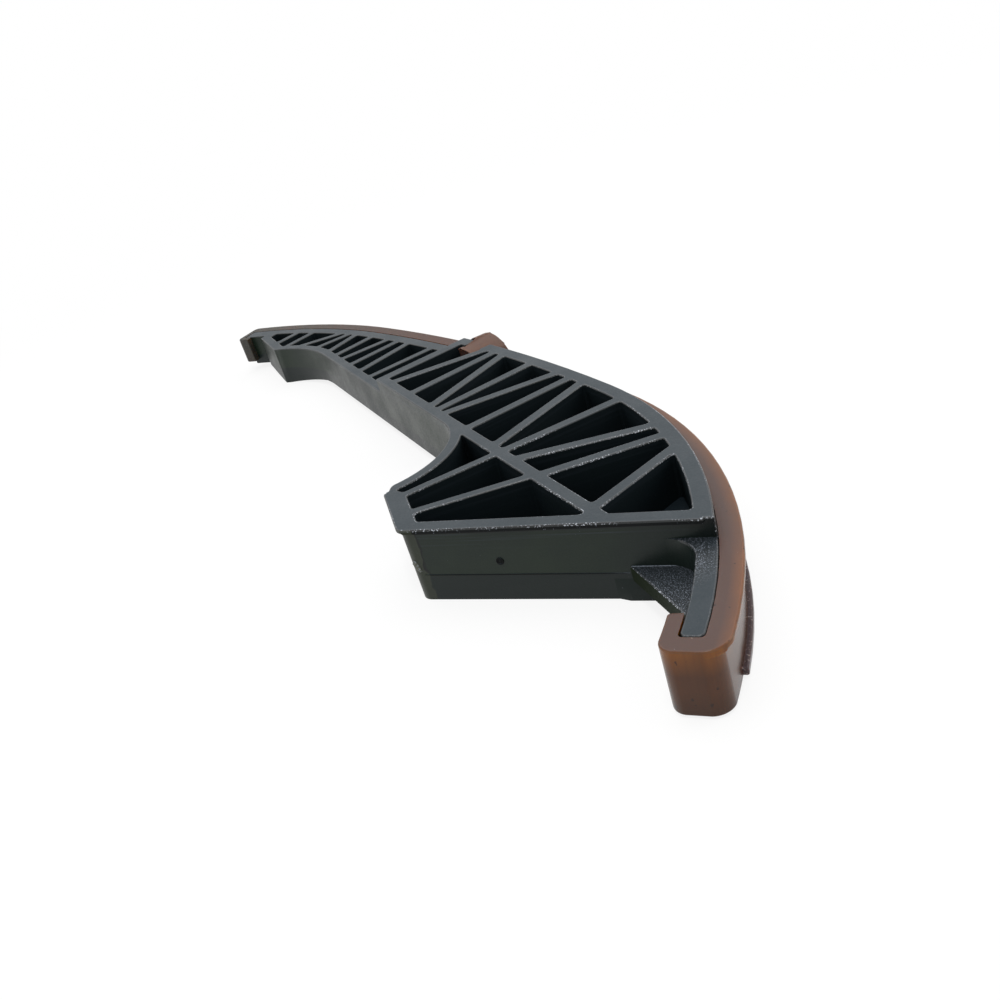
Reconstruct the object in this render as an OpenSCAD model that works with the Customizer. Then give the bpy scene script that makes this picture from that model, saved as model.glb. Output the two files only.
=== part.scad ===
// Timing chain guide: a moulded lattice carrier with a slide shoe clipped
// along its bowed edge. Lies on its side, spine along X, bowed edge to -Y.
// The plan is laid out from the spine's centre line and moved to the middle
// of the part at the end.

/* [Heights] */
// Height of the raised lattice above the underside of the spur
lattice_h = 16; // [14:0.5:20]
// Drop from the raised lattice to the top of the beam and shoe
level_drop = 3.8; // [2:0.1:5]
// Height of the beam's underside above the spur's underside
beam_floor = 2; // [0.5:0.1:3]
// Height of the far hook's underside
end_floor = 3.5; // [2.2:0.1:4.6]
// Top of the web that closes the pockets
web_top = 6.9; // [6:0.1:8]
// Thickness of that web
web_wall = 2; // [1:0.1:2.2]

/* [Bowed edge] */
// Distance along the spine from the plan's start to the bow's apex
apex_x = 88; // [80:1:96]
// Depth of the bow from the spine line to the rim's outer face
rim_depth = 32; // [29:0.5:35]
// Radius of the rim from the near end to the apex
near_r = 115; // [108:1:124]
// Radius of the rim past the apex
mid_r = 530; // [480:5:600]
// Sweep of the middle radius in degrees
mid_sweep = 13.5; // [12.8:0.1:14.2]
// Radius of the rim towards the far end
far_r = 189; // [180:1:200]
// Wall of the rim
rim_wall = 3.4; // [2.6:0.1:4.2]

/* [Spine and spur] */
// Wall of the spine and inner rim
spine_wall = 2.8; // [2:0.1:3.6]
// Angle round the near radius where the front wall leaves the rim
front_at = 34.5; // [33:0.1:36]
// Slope of the front wall in degrees
front_slope = 41.7; // [39:0.1:44]
// Length of the front wall
front_len = 59.2; // [55:0.1:64]
// Wall of the front
front_wall = 2.8; // [2:0.1:3.6]
// Height of the lip along the top of the front wall
lip_h = 0.9; // [0.5:0.1:1.5]
// Overhang of that lip over the front wall
lip_out = 0.5; // [0.2:0.1:0.8]
// Overhang of that lip over the spur's end face
lip_end = 0.9; // [0.3:0.1:1.4]
// Width of the spur's end face
spur_w = 18.2; // [16:0.1:20]
// Slope of the spur's end face in degrees
spur_slope = -12; // [-16:0.5:-8]
// Wall of the spur's end
spur_wall = 3.4; // [2.4:0.1:4.4]
// Radius of the bend from the spur to the inner rim
bend_r = 20.7; // [18:0.1:23]
// Distance along the spine to the end of that bend
bend_x = 108; // [106:0.5:111]

/* [Far end] */
// Length of the end block past the hollow seat
block_len = 21.9; // [19:0.1:24]
// Radius of the hollow seat
seat_r = 48; // [44:0.5:54]
// Length of the seat along the spine
seat_len = 29; // [27:0.5:32]
// Wall behind the seat
seat_wall = 2.8; // [2:0.1:3.4]
// Wall along the inside of the end block
end_wall = 3.2; // [2.4:0.1:4]
// Length of the flat foot under the seat's end
foot_len = 3; // [2:0.1:5]
// Length over which the underside comes down to that foot
foot_run = 21; // [15:0.5:26]
// Angle round the far radius where the far tongue leaves the end block
end_at = 31.2; // [30.8:0.1:31.8]
// Sweep of the far tongue round the far radius, in degrees
far_sweep = 3.1; // [2.6:0.1:3.8]
// Thickness of the far tongue
far_tongue = 4.8; // [4:0.1:5.4]
// Sweep of solid material before the far tongue, in degrees
end_solid = 1.6; // [1.2:0.1:2]

/* [Ribs] */
// Thickness of the fan ribs in the raised lattice
rib_wall = 2.7; // [1.8:0.1:3.4]
// Thickness of the ribs in the lower beam
beam_rib = 2.4; // [1.6:0.1:2.8]
// Thickness of the step rib where the raised lattice ends
step_rib = 3.6; // [2.6:0.1:4.4]
// Where the fan ribs meet the spine, each between 40 and the step rib
fan_in_x = [42.6, 63.3, 74.4, 80, 83.9, 98.8, 113, 116.4, 120.2, 134.4, 148.5];
// Where the same ribs meet the rim, each between 46 and the step rib
fan_out_x = [49.9, 55.4, 60.6, 79, 96.2, 101.2, 106.8, 119.9, 134.3, 138.4, 142.3];
// Where the step rib meets the spine
step_in_x = 154; // [153:0.1:155]
// Where the step rib meets the rim
step_out_x = 156.9; // [156:0.1:158]
// Where the beam's ribs meet the inner rim, each past the step rib
beam_in_x = [161, 172, 180.5, 190, 199.2, 205.4, 212.3, 222.3, 232.6, 238, 246.4];
// Where the same ribs meet the rim, each past the step rib
beam_out_x = [168.5, 174.5, 188.3, 194.2, 199.6, 209.8, 219.6, 222.8, 226.8, 243, 250.6];
// Where the two spur ribs leave the spine
spur_in_x = [64.4, 80.2];
// Offset of their other ends along the spine, over the spur's length
spur_lean = [8, 0.8];
// Thickness of the spur ribs
spur_rib = 2.3; // [1.6:0.1:3]

/* [Near tongue] */
// Thickness of the tongue that carries the shoe's near hook
tongue_wall = 3.8; // [3:0.1:4.6]
// Sweep of the tongue round the near radius past the front wall, in degrees
tongue_sweep = 13.1; // [12:0.1:14.5]
// Radius on the tongue's end corners
tongue_corner = 1.2; // [0.6:0.1:1.5]
// Radius of the root between the tongue and the front wall
root_r = 7; // [5:0.1:8]
// Reach of the gusset along the front wall
gusset_wall = 13.4; // [10:0.1:16]
// Room between the gusset and the near hook's return leg, in degrees
gusset_gap = 1.2; // [0.4:0.1:2]

/* [Slide shoe] */
// Thickness of the shoe across its side lips
shoe_t = 3.9; // [3.5:0.1:4.8]
// Thickness of the shoe under the chain
run_wall = 2.7; // [2.2:0.1:3]
// Height of the shoe's underside above the spur's underside
shoe_floor = 0.4; // [0.2:0.1:1]
// Height of the upper side lip
shoe_lip = 1.2; // [0.8:0.1:1.8]
// Height of the lower side rail
rail_h = 1.4; // [0.8:0.1:2]
// Sweep from the near tongue's end back to the start of the lower rail, in degrees
rail_back = 2.8; // [2.2:0.1:5]
// Thickness of the shoe across its lower rail
rail_t = 3.6; // [3:0.1:4.4]
// Room between the shoe and the rim it lies on
seat_gap = 0.1; // [0.05:0.05:0.3]
// Room round the tongues inside the hooks
hook_gap = 0.2; // [0.15:0.05:0.4]
// Wall of the near hook past the tongue
hook_cap = 3.4; // [2.6:0.1:4]
// Wall of the near hook's return leg
hook_leg = 2.6; // [2:0.1:3.2]
// Length of the near hook's return leg in degrees of the near radius
leg_sweep = 3; // [2.4:0.1:3.6]
// Corner radius of the near hook on the chain side
hook_out_r = 4.6; // [3.6:0.1:5]
// Corner radius of the near hook on the return leg
hook_in_r = 2.8; // [2:0.1:3.2]
// Wall of the far hook past the far tongue
far_cap = 2.4; // [1.8:0.1:3]
// Wall of the far hook's return leg
far_leg = 2; // [1.4:0.1:2.4]
// Length of the far hook's return leg in degrees of the far radius
far_leg_sweep = 0.8; // [0.5:0.1:1.6]
// Corner radius of the far hook
far_hook_r = 2; // [1.2:0.1:2.4]

/* [Clip] */
// Distance from the notch's far end back to the middle of the clip's dome
clip_back = 1.4; // [0:0.1:4]
// Radius of the clip's dome
clip_r = 9.5; // [8:0.1:11]
// Rise of the dome above the raised lattice
clip_rise = 0.9; // [0.4:0.1:2]
// Rim left between the notch and the step rib
notch_back = 2.5; // [2:0.1:3]
// Length of the rim notch
notch_len = 8; // [7:0.1:8.4]
// Room round the clip's arm in the notch
clip_gap = 0.3; // [0.15:0.05:0.4]
// Thickness of the clip's toe inside the rim
toe_wall = 1.4; // [1:0.1:2.6]
// Reach of the toe past the notch
toe_reach = 1.2; // [0.6:0.1:1.4]

/* [Hidden] */
$fn = 240;

// Length that passes well clear of the part
span = 400;
// Overlap of a cut past the face it opens
over = 1;
// Overshoot of a curve past the one it runs into, so that they meet at a clear edge
ease = 0.02;

beam_top = lattice_h - level_drop;
web_floor = web_top - web_wall;
far_end_at = end_at + far_sweep;
leg_out = tongue_wall + hook_gap + hook_leg;
far_leg_out = far_tongue + hook_gap + far_leg;
tongue_at = front_at + tongue_sweep;
rail_at = tongue_at - rail_back;
notch_end = step_out_x - step_rib / 2 - notch_back;
notch_x = notch_end - notch_len;
clip_x = notch_end - clip_back;
half_spine = spine_wall / 2;

// Centres of the three tangent radii
near_c = [apex_x, near_r - rim_depth];
mid_c = [apex_x, mid_r - rim_depth];
far_c = mid_c + (mid_r - far_r + ease) * [sin(mid_sweep), -cos(mid_sweep)];

// Sweep by which a tongue is bedded in the wall it grows from
bed = 1;
// Sweep by which the far radius starts before the middle one ends
lap = 0.5;

// Points round the near and far radii, measured from straight down
function near_pt(r, a) = near_c + r * [-sin(a), -cos(a)];
function far_pt(r, a) = far_c + r * [sin(a), -cos(a)];

// Sweep in degrees of a length round a radius
function sweep(len, r) = len / r * 180 / PI;

// Centre of a corner radius between an arc and the radius line that ends it
function corner_c(c, side, r, a, rad, out) =
    let (q = r - out * rad, b = a - asin(rad / q)) c + q * [side * sin(b), -cos(b)];

// Height of the rim, drawn o proud of its outer face, over a place x
function rim_y(x, o) =
    x < apex_x ? near_c[1] - sqrt(pow(near_r + o, 2) - pow(x - near_c[0], 2))
    : x < far_c[0] + far_r * sin(mid_sweep)
    ? mid_c[1] - sqrt(pow(mid_r + o, 2) - pow(x - mid_c[0], 2))
    : far_c[1] - sqrt(pow(far_r + o, 2) - pow(x - far_c[0], 2));

// Centre line of the inner rim over a place x, along the spine and round the seat
function inner_y(x) =
    x < seat_x ? 0 : -half_spine + (x < seat_end[0]
    ? seat_c[1] - sqrt(pow(seat_r, 2) - pow(x - seat_x, 2)) : seat_end[1]);

// Front wall and spur
front_dir = [cos(front_slope), sin(front_slope)];
front_out = [-sin(front_slope), cos(front_slope)];
front_0 = near_pt(near_r, front_at);
front_1 = front_0 + front_len * front_dir;
spur_dir = [cos(spur_slope), sin(spur_slope)];
spur_in = [sin(spur_slope), -cos(spur_slope)];
spur_2 = front_1 + spur_w * spur_dir;
lip_tip = let (p = front_1 + lip_out * front_out, q = front_1 - lip_end * spur_in)
    p + ((q - p) * spur_in) / (front_dir * spur_in) * front_dir;
bend_c = [bend_x, half_spine + bend_r];
lip_far = spur_2 - ease * spur_dir - lip_end * spur_in;

// Hollow seat and end block
end_in = far_pt(far_r - far_leg_out, end_at);
seat_x = end_in[0] - block_len - seat_len;
seat_c = [seat_x, half_spine + seat_r];
seat_end = seat_c + [seat_len, -sqrt(pow(seat_r, 2) - pow(seat_len, 2))];
foot_0 = seat_end[0] - foot_len / 2;
foot_1 = seat_end[0] + foot_len / 2;
seat_past = seat_end + over * (seat_end - end_in) / norm(seat_end - end_in);

// Tongue faces, and the root radius between the tongue and the front wall
tongue_in = near_r - tongue_wall;
function wall_pt(s) = front_0 + s * front_dir;
function along(p, r) = let (b = (p - near_c) * front_dir)
    -b - sqrt(pow(b, 2) - (p - near_c) * (p - near_c) + pow(r, 2));
corner_s = let (b = (front_0 - near_c) * front_dir)
    -b - sqrt(pow(b, 2) - pow(near_r, 2) + pow(tongue_in, 2));
root_c = let (r = root_r - ease, p = front_0 + r * front_out)
    p + along(p, tongue_in - r) * front_dir;
root_wall = root_c - (root_r - ease) * front_out;
root_dir = (root_c - near_c) / norm(root_c - near_c);
gusset_to = tongue_at - leg_sweep - gusset_gap;

// Shoe radii, measured out from the rim's outer face
shoe_in = seat_gap;
shoe_run = seat_gap + run_wall;
shoe_out = seat_gap + shoe_t;
rail_out = seat_gap + rail_t;
pocket_to = tongue_at + sweep(hook_gap, near_r);
hook_to = tongue_at + sweep(hook_gap + hook_cap, near_r);
hook_mid = tongue_at - leg_sweep / 2;
far_leg_from = far_end_at - far_leg_sweep;
far_pocket_to = far_end_at + sweep(hook_gap, far_r);
far_hook_to = far_end_at + sweep(hook_gap + far_cap, far_r);
clip_top = lattice_h + clip_rise;
arm_floor = beam_top + clip_gap;

// Middle of the part in plan
x_mid = (corner_c(near_c, -1, near_r + shoe_out, hook_to, hook_out_r - ease, 1)[0] - hook_out_r
    + corner_c(far_c, 1, far_r + shoe_out, far_hook_to, far_hook_r - ease, 1)[0] + far_hook_r) / 2;
y_mid = (lip_tip[1] - rim_depth - shoe_out) / 2;

// Everything inside the bowed edge, drawn o proud of the rim's outer face
module inside(o) {
    intersection() {
        translate(near_c) circle(near_r + o);
        translate([apex_x - span, near_c[1] - span]) square([span, span]);
    }
    intersection() {
        translate(mid_c) circle(mid_r + o);
        polygon([mid_c, mid_c - [0, 2 * span], mid_c + 2 * span * [tan(mid_sweep), -1]]);
    }
    intersection() {
        translate(far_c) circle(far_r + o);
        translate(far_c - [0, span]) square([span, span]);
    }
}

// Strip that follows the bowed edge from an angle on the near radius to one on the far radius
module edge_strip(o0, o1, a0, a1) {
    sector(near_c, -1, near_r + o0, near_r + o1, 0, a0);
    sector(mid_c, 1, mid_r + o0, mid_r + o1, 0, mid_sweep);
    sector(far_c, 1, far_r + o0, far_r + o1, mid_sweep - lap, a1);
}

// Sector between two radii about a centre, side = -1 near, 1 far
module sector(c, side, r0, r1, a0, a1) {
    intersection() {
        translate(c) difference() {
            circle(r1);
            circle(r0);
        }
        polygon([c, c + 2 * span * [side * sin(a0), -cos(a0)], c + 2 * span * [side * sin(a1), -cos(a1)]]);
    }
}

// What a corner radius takes off a sector's end, out = 1 at its outer arc, -1 at its inner one
module end_corner(c, side, r, a, rad, out) {
    m = corner_c(c, side, r, a, rad - ease, out);
    u = out * (rad + over) * (m - c) / norm(m - c);
    t = (rad + over) * [side * cos(a), sin(a)];
    difference() {
        polygon([m, m + u, m + u + t, m + t]);
        translate(m) circle(rad);
    }
}

// Sector with both corners rounded at its second angle
module round_sector(c, side, r0, r1, a0, a1, rad0, rad1) {
    difference() {
        sector(c, side, r0, r1, a0, a1);
        end_corner(c, side, r0, a1, rad0, -1);
        end_corner(c, side, r1, a1, rad1, 1);
    }
}

// Straight rib through two points, running on past both
module strip(p, q, w) {
    d = (q - p) / norm(q - p);
    n = w / 2 * [-d[1], d[0]];
    a = p - rim_depth * d;
    b = q + rim_depth * d;
    polygon([a + n, a - n, b - n, b + n]);
}

// Outline of the carrier without its two tongues
module outline() {
    difference() {
        intersection() {
            inside(0);
            polygon([front_0 - rim_depth * front_dir, front_1, spur_2, bend_c - [bend_r, 0], bend_c,
                [bend_x, half_spine], [seat_x, half_spine], seat_past, end_in,
                far_pt(far_r + rim_depth, end_at), [span, -span], [-span, -span]]);
        }
        translate(bend_c) circle(bend_r);
        translate(seat_c) circle(seat_r);
    }
}

// Fan ribs of the truss, from the spine to the rim
module fan() {
    for (i = [0 : len(fan_in_x) - 1])
        strip([fan_in_x[i], 0], [fan_out_x[i], rim_y(fan_out_x[i], -rim_wall / 2)], rib_wall);
    strip([step_in_x, 0], [step_out_x, rim_y(step_out_x, -rim_wall / 2)], step_rib);
    for (i = [0 : len(beam_in_x) - 1])
        strip([beam_in_x[i], inner_y(beam_in_x[i])],
            [beam_out_x[i], rim_y(beam_out_x[i], -rim_wall / 2)], beam_rib);
}

// Open cells of the truss
module truss_cells() {
    inner = front_0 - front_wall * front_out;
    top_s = (-half_spine - inner[1]) / front_dir[1];
    difference() {
        intersection() {
            inside(-rim_wall);
            polygon([inner - rim_depth * front_dir, inner + top_s * front_dir,
                [seat_x, -half_spine], seat_end - [0, end_wall],
                end_in - [end_wall, end_wall], far_pt(far_r + rim_depth, end_at - end_solid),
                [span, -span], [-span, -span]]);
        }
        translate(seat_c) circle(seat_r + seat_wall);
        fan();
    }
}

// Open cells of the spur
module spur_cells() {
    inner = front_0 - front_wall * front_out;
    low_s = (half_spine - inner[1]) / front_dir[1];
    tip = front_1 + spur_wall * spur_in;
    tip_n = [-front_out[0], -front_out[1]];
    tip_s = (front_wall - (tip - front_1) * tip_n) / (spur_dir * tip_n);
    right = spur_2 + spur_wall * spur_in - front_wall * spur_dir;
    difference() {
        polygon([inner + low_s * front_dir, tip + tip_s * spur_dir, right,
            bend_c - [bend_r + front_wall, 0], bend_c, [bend_x, half_spine]]);
        translate(bend_c) circle(bend_r + front_wall);
        for (i = [0 : len(spur_in_x) - 1])
            strip([spur_in_x[i], half_spine], [spur_in_x[i] + spur_lean[i], spur_2[1]], spur_rib);
    }
}

// Side of the step rib that looks to the far end
module beyond_step() {
    p = [step_in_x, 0];
    q = [step_out_x, rim_y(step_out_x, -rim_wall / 2)];
    d = (q - p) / norm(q - p);
    n = step_rib / 2 * [-d[1], d[0]];
    polygon([p + n - span / 4 * d, p + n + span / 4 * d, [span, -span / 4], [span, span / 4]]);
}

// Tongue root: fills the corner between the tongue and the front wall
module tongue_root() {
    difference() {
        polygon([wall_pt(corner_s) - tongue_corner * front_out, root_wall - tongue_corner * front_out,
            root_wall, root_c, near_c + tongue_in * root_dir,
            near_c + (tongue_in + tongue_corner) * root_dir]);
        translate(root_c) circle(root_r);
    }
}

// Web across the corner, lower than the tongue's top
module gusset() {
    polygon([wall_pt(corner_s) - tongue_corner * front_out,
        wall_pt(corner_s + gusset_wall) - tongue_corner * front_out,
        near_pt(tongue_in + tongue_corner, gusset_to)]);
}

// Slot in the raised rim for the clip's arm
module rim_slot(x0, x1, o0, o1) {
    intersection() {
        difference() {
            inside(o1);
            inside(o0);
        }
        translate([x0, -span / 2]) square([x1 - x0, span / 2]);
    }
}

// Room under the beam and the end block, either side of the foot
module under_beam() {
    rise = [foot_run, end_in[0] - foot_1] / beam_floor;
    translate([0, span / 2, 0]) rotate([90, 0, 0]) linear_extrude(span) {
        polygon([[bend_x, -over], [bend_x, beam_floor], [foot_0 - foot_run, beam_floor],
            [foot_0 + over * rise[0], -over]]);
        polygon([[foot_1 - over * rise[1], -over], [end_in[0], beam_floor], [span, beam_floor],
            [span, -over]]);
    }
}

module carrier() {
    color([0.16, 0.17, 0.17]) translate([-x_mid, -y_mid, 0]) difference() {
        union() {
            linear_extrude(lattice_h) outline();
            translate([0, 0, lattice_h - lip_h]) linear_extrude(lip_h)
                polygon([wall_pt(rim_wall / 2) + lip_out * front_out, lip_tip, lip_far,
                    lip_far + (lip_end + spur_wall / 2) * spur_in,
                    wall_pt(front_len / 2) - front_wall / 2 * front_out,
                    wall_pt(rim_wall / 2) - front_wall / 2 * front_out]);
            translate([0, 0, shoe_floor]) linear_extrude(beam_top - shoe_floor) {
                round_sector(near_c, -1, tongue_in, near_r, front_at - bed, tongue_at, tongue_corner,
                    tongue_corner);
                tongue_root();
            }
            translate([0, 0, web_floor]) linear_extrude(web_wall) gusset();
            translate([0, 0, beam_floor]) linear_extrude(beam_top - beam_floor)
                sector(far_c, 1, far_r - far_tongue, far_r, end_at - bed, far_end_at);
        }
        translate([0, 0, beam_top]) linear_extrude(lattice_h) beyond_step();
        under_beam();
        translate([0, 0, web_top]) linear_extrude(lattice_h) truss_cells();
        translate([0, 0, -over]) linear_extrude(web_floor + over) truss_cells();
        translate([0, 0, web_top]) linear_extrude(lattice_h) spur_cells();
        translate([0, 0, -over]) linear_extrude(web_floor + over) spur_cells();
        translate([0, 0, beam_top]) linear_extrude(lattice_h)
            rim_slot(notch_x, notch_end, -rim_wall - over, over);
    }
}

// Near hook round the tongue, drawn o proud of the rim on the chain side
module near_hook(o, out_r) {
    difference() {
        round_sector(near_c, -1, near_r - leg_out, near_r + o, tongue_at - leg_sweep, hook_to, hook_in_r,
            out_r);
        sector(near_c, -1, tongue_in - hook_gap, near_r + shoe_in, tongue_at - 2 * leg_sweep, pocket_to);
    }
}

// Far hook round the far tongue
module far_hook(o, out_r) {
    difference() {
        round_sector(far_c, 1, far_r - far_leg_out, far_r + o, far_leg_from, far_hook_to, far_hook_r,
            out_r);
        sector(far_c, 1, far_r - far_tongue - hook_gap, far_r + shoe_in, end_at - bed, far_pocket_to);
    }
}

module slide_shoe() {
    lip_z = beam_top - shoe_lip;
    color([0.47, 0.33, 0.26]) translate([-x_mid, -y_mid, 0]) {
        translate([0, 0, shoe_floor]) linear_extrude(beam_top - shoe_floor)
            edge_strip(shoe_in, shoe_run, hook_mid, end_at);
        translate([0, 0, end_floor]) linear_extrude(beam_top - end_floor)
            edge_strip(shoe_in, shoe_run, hook_mid, far_end_at);
        translate([0, 0, lip_z]) linear_extrude(shoe_lip)
            edge_strip(shoe_in, shoe_out, hook_mid, far_end_at);
        translate([0, 0, shoe_floor]) linear_extrude(rail_h)
            edge_strip(shoe_in, rail_out, rail_at, end_at);
        translate([0, 0, shoe_floor]) linear_extrude(beam_top - shoe_floor)
            near_hook(shoe_run, hook_out_r - shoe_t + run_wall);
        translate([0, 0, lip_z]) linear_extrude(shoe_lip) near_hook(shoe_out, hook_out_r);
        translate([0, 0, end_floor]) linear_extrude(beam_top - end_floor)
            far_hook(shoe_run, far_hook_r);
        translate([0, 0, lip_z]) linear_extrude(shoe_lip) far_hook(shoe_out, far_hook_r);
        // Clip: a domed strap outside the rim, through its notch and behind it
        intersection() {
            union() {
                translate([0, 0, lip_z]) linear_extrude(clip_top - lip_z)
                    rim_slot(clip_x - clip_r, clip_x + clip_r, shoe_in, shoe_out);
                translate([0, 0, arm_floor]) linear_extrude(clip_top - arm_floor) {
                    rim_slot(notch_x + clip_gap, notch_end - clip_gap,
                        -rim_wall - clip_gap - toe_wall, shoe_run);
                    rim_slot(notch_x + clip_gap, notch_end + toe_reach,
                        -rim_wall - clip_gap - toe_wall, -rim_wall - clip_gap);
                }
            }
            translate([clip_x, 0, clip_top - clip_r]) rotate([90, 0, 0])
                cylinder(h = span, r = clip_r, center = true);
        }
    }
}

carrier();
slide_shoe();
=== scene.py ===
"""Looks of a timing chain guide: a ribbed nylon carrier and the slide shoe clipped along its bowed edge."""

import logging
import math
from contextlib import contextmanager
from dataclasses import dataclass, field
from enum import Enum
from typing import Callable, Iterator

import bmesh
import bpy
from mathutils import Matrix, Vector
from mathutils.bvhtree import BVHTree


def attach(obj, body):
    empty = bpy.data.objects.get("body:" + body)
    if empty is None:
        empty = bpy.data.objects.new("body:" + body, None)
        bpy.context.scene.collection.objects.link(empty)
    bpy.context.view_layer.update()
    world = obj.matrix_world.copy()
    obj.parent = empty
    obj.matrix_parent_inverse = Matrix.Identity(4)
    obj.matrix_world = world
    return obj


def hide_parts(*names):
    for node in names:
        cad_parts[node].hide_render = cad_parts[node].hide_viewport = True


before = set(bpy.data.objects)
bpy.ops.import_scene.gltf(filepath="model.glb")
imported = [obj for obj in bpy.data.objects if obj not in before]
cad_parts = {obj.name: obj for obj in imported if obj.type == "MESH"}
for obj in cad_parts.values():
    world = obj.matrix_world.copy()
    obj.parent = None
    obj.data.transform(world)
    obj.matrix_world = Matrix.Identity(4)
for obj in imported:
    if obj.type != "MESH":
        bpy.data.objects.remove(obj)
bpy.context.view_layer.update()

MM = 0.001
LOG = logging.getLogger("chain_guide")

# Shares of an edge or a normal along Z
UPRIGHT = 0.999
LEVEL = 0.99999
SLOPED = 0.9
# Turns between two faces
MERGE_TURN = math.radians(0.5)
FLAT_TURN = math.radians(1)
ARC_TURN = math.radians(20)
EDGE_TURN = math.radians(30)
SHARP_TURN = math.radians(60)
# Distances that count as none, and limits that leave nothing out
WELD = 0.002 * MM
SAME_HEIGHT = 0.006 * MM
SLIVER = 0.02 * MM
WHOLE_LENGTH = 1.0
WHOLE_HEIGHT = -1.0
# The carrier's front wall: its end by the tongue, the way out of it and its turn about Z in degrees
WALL_AT = Vector((-115.823, -8.014, 0.0)) * MM
WALL_OUT = Vector((-0.66523, 0.74664, 0.0))
WALL_TURN = 41.7

Colour = tuple[float, float, float]
Span = tuple[float, float]
Piece = bpy.types.Object
Socket = bpy.types.NodeSocket
Feed = Socket | float | tuple[float, ...]
Edge = bmesh.types.BMEdge
Face = bmesh.types.BMFace
ALONG: Colour = (1, 0, 0)
UP: Colour = (0, 0, 1)


class Slot(Enum):
    """Material slots of a moulded piece."""

    FACE = 0
    ARRIS = 1
    POCKET = 2
    LIP = 3
    BAND = 4


class RayKind(Enum):
    """Outputs of the Light Path node that see the plain white background."""

    CAMERA = "Is Camera Ray"
    GLOSSY = "Is Glossy Ray"
    TRANSMISSION = "Is Transmission Ray"


def clear_selection() -> None:
    """Leave edit mode and deselect everything."""
    if bpy.context.mode != "OBJECT":
        bpy.ops.object.mode_set(mode="OBJECT")
    bpy.ops.object.select_all(action="DESELECT")


def take(piece: Piece) -> None:
    """Make one piece the only selected and the active one.

    Args:
        piece: The piece to select.
    """
    clear_selection()
    piece.select_set(True)
    bpy.context.view_layer.objects.active = piece


@contextmanager
def edit_mode(piece: Piece, kind: str = "FACE") -> Iterator[Piece]:
    """Work on one piece in edit mode.

    Args:
        piece: The piece to work on.
        kind: What is selected: VERT, EDGE or FACE.

    Returns:
        The piece, in edit mode until the block ends.
    """
    take(piece)
    bpy.ops.object.mode_set(mode="EDIT")
    bpy.ops.mesh.select_mode(type=kind)
    try:
        yield piece
    finally:
        bpy.ops.object.mode_set(mode="OBJECT")


def pick_points(piece: Piece, wanted: Callable[[bmesh.types.BMVert], bool]) -> None:
    """Select only the wanted points of a piece.

    Args:
        piece: The piece, in edit mode by points.
        wanted: Tells whether a point is wanted.
    """
    bpy.ops.mesh.select_all(action="DESELECT")
    for point in bmesh.from_edit_mesh(piece.data).verts:
        point.select_set(wanted(point))


def modify(piece: Piece, kind: str, **settings: object) -> None:
    """Add a modifier to a piece and apply it.

    Args:
        piece: The piece to change.
        kind: The modifier's type.
        settings: The modifier's settings.
    """
    take(piece)
    modifier = piece.modifiers.new(kind.lower(), kind)
    for name, value in settings.items():
        setattr(modifier, name, value)
    bpy.ops.object.modifier_apply(modifier=modifier.name)


def crowded_uprights(work: bmesh.types.BMesh, spacing: float) -> list[Edge]:
    """Find the upright edges that a small arc can do without.

    Args:
        work: The mesh to look through.
        spacing: Distance that the edges left in an arc keep, in metres.

    Returns:
        The edges to leave out.
    """
    in_order = [e for e in work.edges
                if e.is_manifold and abs(e.verts[0].co.z - e.verts[1].co.z) > UPRIGHT * e.calc_length()]
    uprights = set(in_order)
    arc = {e for e in in_order if abs(e.calc_face_angle()) < ARC_TURN}
    seen: set[Edge] = set()
    spare: list[Edge] = []

    def across(face: Face, edge: Edge) -> tuple[Edge | None, float]:
        """Step over a face to its other upright edge.

        Args:
            face: The face to step over.
            edge: The upright edge to start from.

        Returns:
            The other upright edge, if there is a single one, and the width of the step, in metres.
        """
        others = [e for e in face.edges if e in uprights and e is not edge]
        if len(face.verts) != 4 or len(others) != 1:
            return None, math.inf
        return others[0], (others[0].verts[0].co - edge.verts[0].co).to_2d().length

    for first in in_order:
        for face in first.link_faces:
            edge, wide = across(face, first)
            ahead = first in arc and any(across(f, first)[1] < spacing for f in first.link_faces if f is not face)
            if ahead or edge is None or wide >= spacing or edge in seen:
                continue
            walked, turned = 0.0, 0.0
            while edge is not None and edge not in seen:
                seen.add(edge)
                walked += wide
                turned += edge.calc_face_angle()
                if edge not in arc:
                    break
                if walked < spacing and turned < ARC_TURN:
                    spare.append(edge)
                else:
                    walked, turned = 0.0, 0.0
                face = next(f for f in edge.link_faces if f is not face)
                edge, wide = across(face, edge)
                if wide >= spacing:
                    break
    return spare


def copy_of_node(node: str, name: str, spacing: float) -> Piece:
    """Copy a solid's mesh and turn its loose triangles into whole flat faces.

    Args:
        node: Name of the solid.
        name: Name of the new piece.
        spacing: Distance that the upright edges left in a small arc keep, in metres.

    Returns:
        The new piece, at the origin.
    """
    piece = bpy.data.objects.new(name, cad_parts[node].data.copy())
    bpy.context.scene.collection.objects.link(piece)
    piece.data.materials.clear()
    with edit_mode(piece):
        bpy.ops.mesh.select_all(action="SELECT")
        bpy.ops.mesh.customdata_custom_splitnormals_clear()
        bpy.ops.mesh.remove_doubles(threshold=WELD)
        bpy.ops.mesh.dissolve_limited(angle_limit=MERGE_TURN)
    with edit_mode(piece, "EDGE"):
        bpy.ops.mesh.select_all(action="DESELECT")
        work = bmesh.from_edit_mesh(piece.data)
        for edge in crowded_uprights(work, spacing):
            edge.select_set(True)
        bpy.ops.mesh.dissolve_edges(use_verts=True)
        bpy.ops.mesh.select_all(action="SELECT")
        bpy.ops.mesh.dissolve_degenerate(threshold=SLIVER)
    with edit_mode(piece, "VERT"):
        pick_points(piece, lambda point: len(point.link_edges) == 2)
        bpy.ops.mesh.dissolve_verts()
    return piece


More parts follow.
